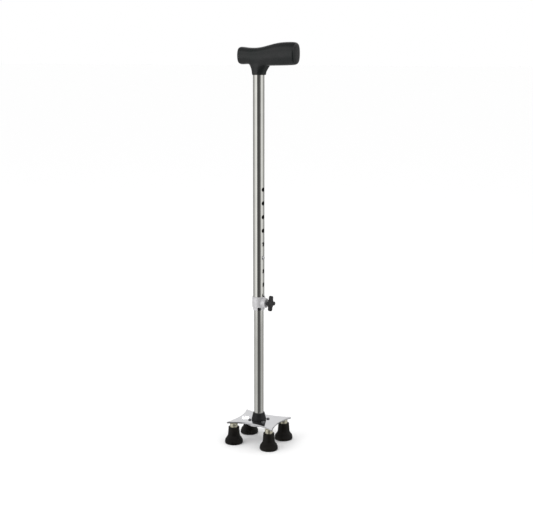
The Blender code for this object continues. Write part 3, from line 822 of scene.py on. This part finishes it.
def make_knob():
    """The star knob, with well rounded lobes, a dished cap in front and a bore for the stud."""
    back, front = knob_low.x - AXIS_X, knob_high.x - AXIS_X
    outline = star_outline(KNOB_LOBES, KNOB_LOBE_PLACE, KNOB_LOBE_RADIUS, KNOB_VALLEY_PLACE, KNOB_TURN)
    knob = prism("star_knob", outline, back, front, KNOB_EDGE, 6)
    floor, clear = front - DISH_DEPTH, front + DISH_CLEAR
    dish_profile = [
        (0, floor, 0),
        (DISH_FLOOR, floor, DISH_EDGE),
        (DISH_RIM, front, 0),
        (DISH_RIM, clear, 0),
        (0, clear, 0),
    ]
    dish = lathe("cap_dish", fillet(dish_profile, closed=False), 64)
    bore = rod("knob_bore", KNOB_BORE, 0, stud_high.x - AXIS_X + GAP)
    combine(knob, [dish, bore])
    turn_to(knob, "+X", (0, 0, KNOB_Z))
    smooth(knob, 35)
    finish(knob, "knob", ["clamp_knob"], KNOB)


def make_stud():
    """The knob's stud: a core with a helix of thread round it."""
    start, end = stud_low.x - AXIS_X, stud_high.x - AXIS_X
    steps = 32
    turns = int((end - start - THREAD_MARGIN) / THREAD_PITCH)
    points = []
    rows = (turns + 1) * THREAD_ROWS + 1
    for row in range(rows):
        depth = THREAD_ROOT if row % THREAD_ROWS in (0, 1) else THREAD_OUTER
        for step in range(steps):
            angle = 2 * math.pi * step / steps
            height = start + THREAD_PITCH * (row / THREAD_ROWS + step / steps - 1)
            height = min(max(height, start), end)
            points.append((depth * math.cos(angle), depth * math.sin(angle), height))
    faces = []
    for row in range(rows - 1):
        for step in range(steps):
            after = (step + 1) % steps
            lift = THREAD_ROWS if after == 0 else 0
            if row + 1 + lift < rows:
                faces.append(
                    (
                        row * steps + step,
                        (row + lift) * steps + after,
                        (row + 1 + lift) * steps + after,
                        (row + 1) * steps + step,
                    )
                )
    stud = new_object("threaded_stud", points, faces)
    join(stud, rod("stud_core", THREAD_ROOT, start, end, steps))
    turn_to(stud, "+X", (0, 0, KNOB_Z))
    smooth(stud, 25)
    finish(stud, "knob", ["knob_stud"], STEEL)


# ---------------------------------------------------------------- base


PLATE_CORNER = (0.0495, 0.0425)
PLATE_DROP = 0.0003
PLATE_REACH = math.hypot(*PLATE_CORNER)
PLATE_THICKNESS = 0.0030
END_HOLLOW = 0.0085
FRONT_HOLLOW = 0.0158
BACK_HOLLOW = 0.0105
PLATE_CORNER_ROUND = 0.0013
PLATE_CORNER_STRAIGHT = 0.0080
PLATE_RIM = 0.0007
PLATE_HOLE = 0.0079
PLATE_RINGS = 24
RIM_STEPS = 5
PLATE_CUT_BOTTOM = 0.03
PLATE_CUT_TOP = 0.06
PAN_HEIGHT = 0.0017
SHANK_RADIUS = 0.0016
CROSS_REACH = 0.0017
CROSS_HALF_WIDTH = 0.0003
CROSS_DEPTH = 0.0009
CROSS_CLEAR = 0.001


def plate_surface(x, y):
    """Height of the plate's domed top."""
    return plate_top - PLATE_DROP * (x * x + y * y) / PLATE_REACH**2


def hollow_side(start, end, hollow, steps=40):
    """Points of a circular arc that curves in towards the middle, from one corner to the next."""
    start, end = Vector(start), Vector(end)
    chord = (end - start).length
    radius = (chord * chord / 4 + hollow * hollow) / (2 * hollow)
    half_angle = math.asin(chord / 2 / radius)
    middle = (start + end) / 2
    outward = middle.normalized()
    along = (end - start).normalized()
    points = []
    for step in range(1, steps):
        angle = half_angle * (2 * step / steps - 1)
        inward = hollow - radius * (1 - math.cos(angle))
        points.append(tuple(middle + along * radius * math.sin(angle) - outward * inward))
    return points


def plate_outline():
    """Four hollow sides joined by rounded corners, counter-clockwise."""
    corner_x, corner_y = PLATE_CORNER
    corners = [(corner_x, -corner_y), (corner_x, corner_y), (-corner_x, corner_y), (-corner_x, -corner_y)]
    hollows = (END_HOLLOW, BACK_HOLLOW, END_HOLLOW, FRONT_HOLLOW)
    points = []
    for start, end, hollow in zip(corners, corners[1:] + corners[:1], hollows):
        points.append((*start, PLATE_CORNER_ROUND))
        for point in hollow_side(start, end, hollow):
            if min(math.dist(point, start), math.dist(point, end)) > PLATE_CORNER_STRAIGHT:
                points.append((*point, 0))
    return fillet(points, steps=10)


def make_plate():
    """The polished plate: barely domed, from a round middle hole out to a rounded rim."""
    outline = plate_outline()
    count = len(outline)
    inner = inset_outline(outline, PLATE_RIM)
    steps = [math.dist(first, second) for first, second in zip(inner, inner[1:] + inner[:1])]
    turn = math.atan2(inner[0][1], inner[0][0])
    hole = []
    for step in steps:
        hole.append((PLATE_HOLE * math.cos(turn), PLATE_HOLE * math.sin(turn)))
        turn += 2 * math.pi * step / sum(steps)
    top = []
    for step in range(PLATE_RINGS):
        share = step / PLATE_RINGS
        ring = [
            (a * (1 - share) + c * share, b * (1 - share) + d * share) for (a, b), (c, d) in zip(hole, inner)
        ]
        top.append((ring, 0))
    for step in range(RIM_STEPS + 1):
        angle = math.pi / 2 * step / RIM_STEPS
        ring = inset_outline(outline, PLATE_RIM * (1 - math.sin(angle)))
        top.append((ring, PLATE_RIM * (1 - math.cos(angle))))
    rings = top + [(ring, PLATE_THICKNESS - drop) for ring, drop in reversed(top)]
    points = [(x, y, plate_surface(x, y) - drop) for ring, drop in rings for x, y in ring]
    faces = []
    for ring in range(len(rings)):
        near, far = ring * count, (ring + 1) % len(rings) * count
        for side in range(count):
            after = (side + 1) % count
            faces.append((near + side, near + after, far + after, far + side))
    plate = new_object("polished_plate", points, faces)
    drills = []
    for spot in screw_spots():
        cutter = rod("plate_drill", SCREW_HOLE, PLATE_CUT_BOTTOM, PLATE_CUT_TOP, 32)
        drills.append(turn_to(cutter, "+Z", (*spot, 0)))
    combine(plate, drills)
    smooth(plate, 40)
    finish(plate, "base", ["base_plate"], PLATE_METAL)


def screw_spots():
    """Each plate screw's place, measured from the tubes' axis."""
    boxes = [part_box(f"plate_screw_{number}") for number in range(1, 5)]
    return [((low.x + high.x) / 2 - AXIS_X, (low.y + high.y) / 2) for low, high in boxes]


def make_screws():
    """Pan-head screws with a cross recess."""
    low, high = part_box("plate_screw_1")
    head = (high.y - low.y) / 2
    top = high.z
    seat = top - PAN_HEIGHT
    for number, spot in enumerate(screw_spots(), start=1):
        crown = [(0, top), (head * 0.45, top - 0.0001), (head * 0.85, top - 0.0007), (head, seat + 0.0002)]
        shank = [(head, seat), (SHANK_RADIUS, seat), (SHANK_RADIUS, low.z), (0, low.z)]
        screw = lathe(f"pan_screw_{number}", through(crown) + shank, 48)
        turn = math.radians(25 + 55 * number)
        arm = oblong(-CROSS_REACH, CROSS_REACH, CROSS_HALF_WIDTH)
        slots = []
        for quarter in (0, 1):
            slot = prism("cross", arm, top - CROSS_DEPTH, top + CROSS_CLEAR, 0.00005, 1)
            slots.append(spin(slot, turn + quarter * math.pi / 2))
        combine(screw, slots)
        turn_to(screw, "+Z", (*spot, 0))
        smooth(screw, 30)
        finish(screw, "base", [f"plate_screw_{number}"], SCREW_STEEL)


# The boot's side, as distances in from its widest radius and down from its top
BOOT_SIDE = ((0.0029, 0.0004), (0.0025, 0.0018), (0.0020, 0.0042), (0.0013, 0.0072), (0.0005, 0.0102))
BOOT_GAP = 0.0002
BOOT_LIP = 0.0006
BOOT_WELT = 0.0002
BOOT_WELT_HEIGHT = 0.0022


def make_boot():
    """The rubber boot, with a rolled lip at its top and a welt at its foot."""
    top, bottom = boot_high.z, boot_low.z
    radius = (boot_high.y - boot_low.y) / 2
    bore = LOWER_RADIUS + BOOT_GAP
    neck, body = radius - BOOT_SIDE[0][0], radius - BOOT_WELT
    lip = fillet([(bore, top, 0.0002), (neck, top, BOOT_LIP), (neck, top - BOOT_LIP, 0)], closed=False)
    side = through([(radius - inset, top - drop) for inset, drop in BOOT_SIDE] + [(body, bottom + 0.0026)])
    welt = fillet(
        [
            (body, bottom + BOOT_WELT_HEIGHT + 0.0002, 0),
            (radius, bottom + BOOT_WELT_HEIGHT, 0.0002),
            (radius, bottom, 0.0004),
            (bore, bottom, 0),
        ],
        closed=False,
    )
    boot = lathe("rubber_boot", lip[:-1] + side + welt, 96, hollow=True)
    smooth(boot, 40)
    finish(boot, "base", ["tube_boot"], BOOT)


FOOT_BEAD = 0.0104
# The rubber tip's side, downwards, as (radius, height)
FOOT_NECK = ((0.0110, 0.0220), (0.0115, 0.0160))
FOOT_BELL = ((0.0121, 0.0143), (0.0136, 0.0118), (0.0159, 0.0086), (0.0168, 0.0062))
FLARE_TOP = 0.0042
FLARE_BOTTOM = 0.0030
SOLE_EDGE = 0.0012
SOLE_RADIUS = 0.0163
# Outer radii of the sole's two ring grooves, and a groove's section as (inwards, upwards)
SOLE_GROOVES = (0.0140, 0.0100)
GROOVE = ((0, 0), (0.0005, 0.0010), (0.0014, 0.0010), (0.0019, 0))
FOOT_GAP = 0.0002
FOOT_FLOOR = 0.0078
POST_GROOVE_ABOVE_FOOT = 0.0022
POST_GROOVE_DEPTH = 0.0005


def make_foot(number, spot, low, high, post):
    """A bell-shaped rubber tip with a beaded top, a stepped flare and a grooved sole."""
    flare = (high.x - low.x) / 2
    top = high.z
    socket = post + FOOT_GAP
    bead = fillet(
        [
            (socket, top - 0.0002, 0),
            (socket + 0.0003, top, 0.0003),
            (FOOT_BEAD, top, 0.0008),
            (FOOT_BEAD + 0.0001, top - 0.0022, 0.0003),
        ],
        closed=False,
    )
    neck = through([(FOOT_BEAD, top - 0.0028), (FOOT_BEAD + 0.0002, top - 0.0050), *FOOT_NECK])
    bell = through([*FOOT_BELL, (flare, FLARE_TOP)])
    sole = [(flare, FLARE_BOTTOM, 0.0002), (flare, SOLE_EDGE, 0.0005), (SOLE_RADIUS, 0, 0.0004)]
    for outer in SOLE_GROOVES:
        sole += [(outer - inwards, upwards, 0.0002) for inwards, upwards in GROOVE]
    sole = fillet([*sole, (0, 0, 0)], closed=False, steps=3)
    inside = [(0, FOOT_FLOOR), (socket, FOOT_FLOOR)]
    foot = lathe(f"rubber_tip_{number}", bead + neck + bell + sole + inside, 72, hollow=True)
    turn_to(foot, "+Z", spot)
    smooth(foot, 40)
    finish(foot, "base", [f"rubber_foot_{number}"], FOOT)


def make_post(number, spot, low, high, foot_top):
    """A plated leg post, with a shallow groove just above its rubber tip."""
    radius = (high.x - low.x) / 2
    waist = radius - POST_GROOVE_DEPTH
    groove = foot_top + POST_GROOVE_ABOVE_FOOT
    outline = [
        (0, high.z, 0),
        (radius, high.z, 0.0002),
        (radius, groove + 0.0012, 0.0002),
        (waist, groove + 0.0009, 0.0002),
        (waist, groove, 0.0002),
        (radius, groove - 0.0003, 0.0002),
        (radius, low.z, 0.0006),
        (0, low.z, 0),
    ]
    leg = lathe(f"plated_post_{number}", fillet(outline, closed=False, steps=3), 64)
    turn_to(leg, "+Z", spot)
    smooth(leg, 35)
    finish(leg, "base", [f"leg_post_{number}"], LEG_METAL)


def make_feet():
    """Four rubber tips, each on its post."""
    for number in range(1, 5):
        low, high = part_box(f"rubber_foot_{number}")
        post_low, post_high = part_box(f"leg_post_{number}")
        spot = ((low.x + high.x) / 2 - AXIS_X, (low.y + high.y) / 2, 0)
        make_foot(number, spot, low, high, (post_high.x - post_low.x) / 2)
        make_post(number, spot, post_low, post_high, high.z)


# ---------------------------------------------------------------- carried-over CAD nodes


def dress_cad_nodes():
    """Gives each CAD node that still shows the look of its material slot."""
    looks = {
        "handle_plastic": GRIP,
        "nylon": NYLON,
        "steel": STEEL,
        "polished_tube": TUBE_METAL,
        "cast_collar": CAST_METAL,
        "knob_plastic": KNOB,
        "button_chrome": CHROME,
        "spring_steel": SPRING_STEEL,
        "boot_rubber": BOOT,
        "base_metal": PLATE_METAL,
        "leg_metal": LEG_METAL,
        "foot_rubber": FOOT,
    }
    slots = {part["node"]: part["material_slot"] for part in frame["record"]["subparts"]}
    for name, node in frame["nodes"].items():
        if node.hide_render:
            continue
        node.data.materials.clear()
        node.data.materials.append(looks[slots[name]])


# ---------------------------------------------------------------- studio


def studio_card(name, centre, facing, width, height, strength):
    """A small bright card, seen only in shiny surfaces."""
    points = [(*corner, 0) for corner in oblong(-width / 2, width / 2, height / 2)]
    card = new_object(name, points, [(0, 1, 2, 3)])
    card.location = centre
    card.rotation_euler = (Vector(facing) - Vector(centre)).to_track_quat("Z", "Y").to_euler()
    material = bpy.data.materials.new(name)
    material.use_nodes = True
    nodes = material.node_tree.nodes
    nodes.remove(nodes["Principled BSDF"])
    emission = nodes.new("ShaderNodeEmission")
    emission.inputs["Strength"].default_value = strength
    material.node_tree.links.new(emission.outputs[0], nodes["Material Output"].inputs["Surface"])
    card.data.materials.append(material)
    card.visible_camera = False
    card.visible_diffuse = False
    card.visible_shadow = False


# Tones round the studio, by degrees from the camera's side of the cane, positive to its right:
# a dark gap with the camera in it, a bright wall on either side and grey walls behind
UPPER_TONES = (
    (-180, 0.40), (-151, 0.40), (-146, 0.12), (-132, 0.12), (-127, 0.40), (-92, 0.40), (-80, 0.72),
    (-45, 0.92), (-37, 0.80), (-29, 0.14), (-22, 0.065), (6, 0.065), (11, 0.16), (16, 0.07), (35, 0.085),
    (44, 0.72), (84, 0.70), (97, 0.40), (112, 0.40), (115, 0.14), (124, 0.14), (127, 0.40), (180, 0.40),
)
LOWER_TONES = (
    (-180, 0.44), (-151, 0.44), (-146, 0.20), (-132, 0.20), (-127, 0.46), (-92, 0.47), (-50, 0.55),
    (-37, 0.50), (-27, 0.16), (-18, 0.085), (18, 0.09), (33, 0.13), (50, 0.32), (76, 0.48), (97, 0.40),
    (112, 0.33), (115, 0.16), (124, 0.16), (127, 0.33), (180, 0.40),
)
# Tones by degrees above the horizon
CEILING_TONES = ((0, 0.40), (12, 0.62), (19, 0.74), (27, 0.74), (42, 0.35), (90, 0.25))
# Degrees of rise over which the lower walls give way to the upper ones, and those to the ceiling
WALL_BREAK = (-14.2, -13.4)
CEILING_BREAK = (3, 14)
DIFFUSE_LEVEL = 1.10
FLOOR_REACH = 60
# The plate's highlight: its place from the tubes' axis, and the card that makes it
GLEAM_SPOT = (-0.0272, -0.0036)
GLEAM_DISTANCE = 1.3
GLEAM_SIZE = (0.022, 0.007)
GLEAM_STRENGTH = 3
KEY_PLACE = (-1.2, -1.4, 1.9)
KEY_AIM = (0, 0, 0.4)
KEY_SIZE = 1.0
KEY_ENERGY = 10


def tone_ramp(tree, source, tones, low, high):
    """A colour ramp of greys, placed by degrees between low and high."""
    ramp = tree.nodes.new("ShaderNodeValToRGB")
    elements = ramp.color_ramp.elements
    while len(elements) < len(tones):
        elements.new(0.5)
    for element, (degrees, tone) in zip(elements, tones):
        element.position = (degrees - low) / (high - low)
        element.color = (tone, tone, tone, 1)
    spread = tree.nodes.new("ShaderNodeMapRange")
    spread.inputs["From Min"].default_value = math.radians(low)
    spread.inputs["From Max"].default_value = math.radians(high)
    tree.links.new(source, spread.inputs["Value"])
    tree.links.new(spread.outputs["Result"], ramp.inputs["Fac"])
    return ramp.outputs["Color"]


def make_world():
    """White to the camera, and to the cane a soft studio whose walls show in its polished metal."""
    world = bpy.data.worlds.new("studio")
    bpy.context.scene.world = world
    world.use_nodes = True
    tree = world.node_tree
    link = tree.links.new
    direction = tree.nodes.new("ShaderNodeTexCoord").outputs["Generated"]

    def part(axis):
        dot = tree.nodes.new("ShaderNodeVectorMath")
        dot.operation = "DOT_PRODUCT"
        dot.inputs[1].default_value = axis
        link(direction, dot.inputs[0])
        return dot.outputs["Value"]

    def math_node(operation, first, second=None):
        node = tree.nodes.new("ShaderNodeMath")
        node.operation = operation
        link(first, node.inputs[0])
        if second is not None:
            link(second, node.inputs[1])
        return node.outputs["Value"]

    sine, cosine = math.sin(CAMERA_AZIMUTH), math.cos(CAMERA_AZIMUTH)
    turn = math_node("ARCTAN2", part((cosine, sine, 0)), part((sine, -cosine, 0)))
    rise = math_node("ARCSINE", part((0, 0, 1)))
    upper = tone_ramp(tree, turn, UPPER_TONES, -180, 180)
    lower = tone_ramp(tree, turn, LOWER_TONES, -180, 180)
    ceiling = tone_ramp(tree, rise, CEILING_TONES, 0, 90)

    def blend(first, second, start, end):
        """first below the start angle of rise, second above the end angle."""
        spread = tree.nodes.new("ShaderNodeMapRange")
        spread.inputs["From Min"].default_value = math.radians(start)
        spread.inputs["From Max"].default_value = math.radians(end)
        link(rise, spread.inputs["Value"])
        mix = tree.nodes.new("ShaderNodeMix")
        mix.data_type = "RGBA"
        link(spread.outputs["Result"], mix.inputs["Factor"])
        link(first, mix.inputs["A"])
        link(second, mix.inputs["B"])
        return mix.outputs["Result"]

    walls = blend(lower, upper, *WALL_BREAK)
    room = blend(walls, ceiling, *CEILING_BREAK)
    shown = tree.nodes["Background"]
    link(room, shown.inputs["Color"])
    path = tree.nodes.new("ShaderNodeLightPath")
    surface = shown.outputs[0]
    for ray, level in (("Is Camera Ray", 1.0), ("Is Diffuse Ray", DIFFUSE_LEVEL)):
        white = tree.nodes.new("ShaderNodeBackground")
        white.inputs["Color"].default_value = (1, 1, 1, 1)
        white.inputs["Strength"].default_value = level
        pick = tree.nodes.new("ShaderNodeMixShader")
        link(path.outputs[ray], pick.inputs["Fac"])
        link(surface, pick.inputs[1])
        link(white.outputs[0], pick.inputs[2])
        surface = pick.outputs[0]
    link(surface, tree.nodes["World Output"].inputs["Surface"])


def soft_light(name, place, aim, size, energy):
    """A square lamp that doesn't show in the metal."""
    lamp = bpy.data.objects.new(name, bpy.data.lights.new(name, "AREA"))
    lamp.data.energy = energy
    lamp.data.size = size
    lamp.location = place
    lamp.rotation_euler = (Vector(aim) - lamp.location).to_track_quat("-Z", "Y").to_euler()
    lamp.visible_glossy = False
    bpy.context.scene.collection.objects.link(lamp)


def make_floor():
    """A wide pale floor, which doesn't show in the metal."""
    points = [(*corner, 0) for corner in oblong(-FLOOR_REACH, FLOOR_REACH, FLOOR_REACH)]
    floor = new_object("floor", points, [(0, 1, 2, 3)])
    pale = bpy.data.materials.new("pale_floor")
    pale.use_nodes = True
    inputs = pale.node_tree.nodes["Principled BSDF"].inputs
    inputs["Base Color"].default_value = (0.97, 0.97, 0.97, 1)
    inputs["Roughness"].default_value = 0.9
    inputs["Specular IOR Level"].default_value = 0
    floor.data.materials.append(pale)
    floor.visible_glossy = False


def make_gleam():
    """The plate's highlight: a bright card where the camera sees it mirrored in the plate."""
    x, y = GLEAM_SPOT
    slope = 2 * PLATE_DROP / PLATE_REACH**2
    spot = Vector((AXIS_X + x, y, plate_surface(x, y)))
    sight = (spot - camera_place()).normalized()
    mirrored = sight.reflect(Vector((slope * x, slope * y, 1)).normalized())
    studio_card("plate_gleam", spot + mirrored * GLEAM_DISTANCE, spot, *GLEAM_SIZE, GLEAM_STRENGTH)


def make_studio():
    make_world()
    make_floor()
    soft_light("key", KEY_PLACE, KEY_AIM, KEY_SIZE, KEY_ENERGY)
    make_gleam()


def make_camera():
    camera = bpy.data.objects.new("camera", bpy.data.cameras.new("camera"))
    camera.location = camera_place()
    level = Euler((math.pi / 2 - CAMERA_PITCH, 0, CAMERA_AZIMUTH)).to_matrix()
    camera.rotation_euler = (level @ Euler((0, 0, CAMERA_ROLL)).to_matrix()).to_euler()
    camera.data.lens = CAMERA_LENS
    bpy.context.scene.collection.objects.link(camera)
    bpy.context.scene.camera = camera


make_handle()
make_tubes()
make_button()
make_collar()
make_nut()
make_knob()
make_stud()
make_plate()
make_screws()
make_boot()
make_feet()
dress_cad_nodes()
make_studio()
make_camera()
bpy.context.scene.view_settings.view_transform = "Standard"
